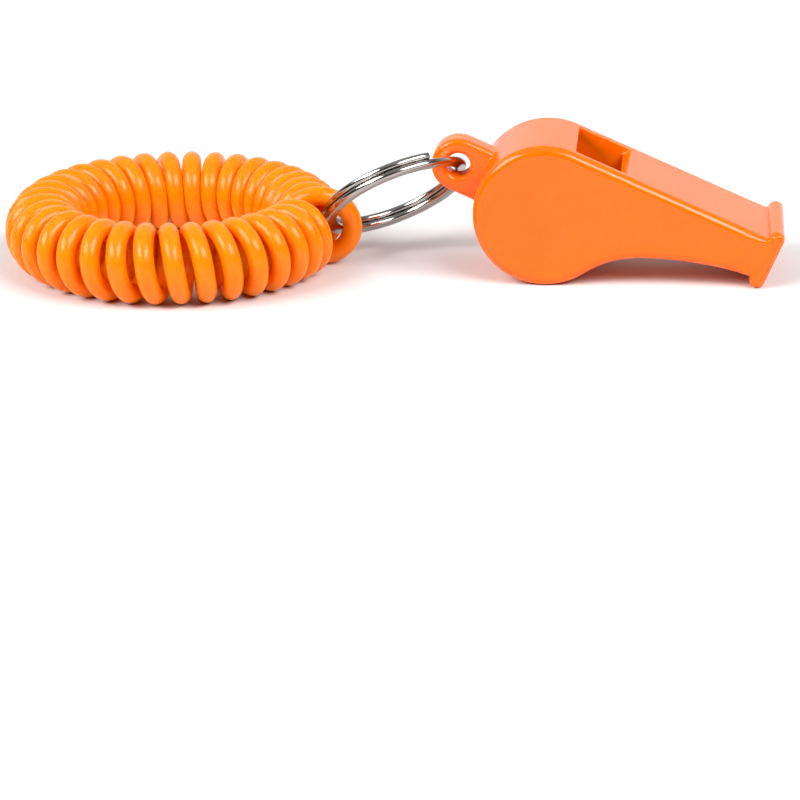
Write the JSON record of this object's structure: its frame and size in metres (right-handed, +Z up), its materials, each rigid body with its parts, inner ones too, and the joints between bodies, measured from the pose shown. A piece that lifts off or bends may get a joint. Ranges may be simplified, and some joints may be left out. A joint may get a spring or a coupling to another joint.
{
  "type": "training whistle",
  "caption": "Plastic pea whistle with a square mouth, window and rear lug, on a steel split ring that joins it to a stretch coil for the wrist.",
  "frame": {"origin": "on the surface the whistle stands on, under the middle of the whistle and its split ring (the wrist coil is not counted)", "axes": "+Z up; +X from the lug towards the mouth; Y across the whistle's width, with the welded side cover at +Y. The whistle leans on its drum and on the lip under its mouth, so its roof slopes down 24 degrees towards +X"},
  "size_m": [0.1266, 0.0564, 0.023],
  "materials": {
    "shell_plastic": "glossy moulded ABS, slightly translucent",
    "cork": "plain granulated cork",
    "plated_steel": "bright nickel plate",
    "cord_plastic": "soft satin-gloss extruded plastic"
  },
  "bodies": {
    "whistle": {"whistle_body": "shell_plastic", "side_cover": "shell_plastic"},
    "pea_ball": {"pea": "cork"},
    "ring": {"split_ring": "plated_steel"},
    "coil": {"wrist_coil": "cord_plastic", "ring_turn": "cord_plastic"}
  },
  "joints": [
    {"name": "pea_roll", "type": "hinge", "parent": "whistle", "child": "pea_ball", "pos_m": [-0.0011, 0, 0.0115], "axis": [0, 1, 0], "continuous": true},
    {"name": "ring_swing", "type": "hinge", "parent": "whistle", "child": "ring", "pos_m": [-0.01526, 0, 0.0178], "axis": [0, 1, 0], "range_deg": [-20, 100]},
    {"name": "coil_swing", "type": "hinge", "parent": "ring", "child": "coil", "pos_m": [-0.03593, 0, 0.00727], "axis": [0, 1, 0], "range_deg": [-40, 50]}
  ]
}
